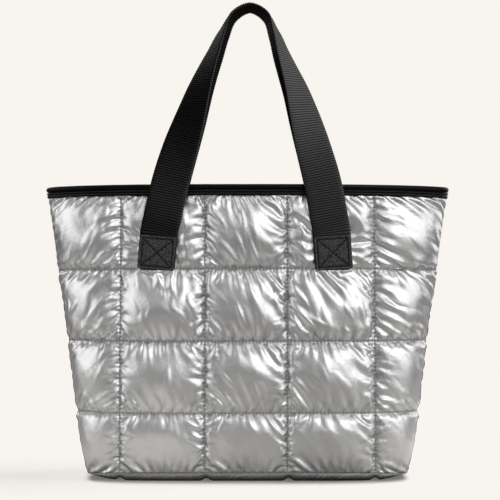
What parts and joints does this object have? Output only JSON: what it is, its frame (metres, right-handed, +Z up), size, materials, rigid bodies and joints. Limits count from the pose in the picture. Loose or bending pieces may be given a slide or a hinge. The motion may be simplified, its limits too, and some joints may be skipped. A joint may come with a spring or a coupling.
{
  "type": "puffer tote bag",
  "caption": "Quilted metallic padded tote bag with a corded, bound rim and standing webbing handles sewn on under square patches, for carrying things by hand.",
  "frame": {"origin": "on the floor under the middle of the base", "axes": "+Z up, front towards -Y, +X to the right seen from the front"},
  "size_m": [0.443, 0.151, 0.5157],
  "materials": {
    "quilted_foil": "metallic foil on soft cloth, satin gloss",
    "binding": "smooth, glossy",
    "webbing": "ribbed weave, matte",
    "patch": "fine grain, matte"
  },
  "bodies": {
    "root": {"front_panel": "quilted_foil", "back_panel": "quilted_foil", "base_panel": "quilted_foil", "rim_binding": "binding", "rim_piping": "binding", "front_handle": "webbing", "back_handle": "webbing", "front_patch_a": "patch", "front_patch_b": "patch", "back_patch_a": "patch", "back_patch_b": "patch"}
  },
  "joints": []
}
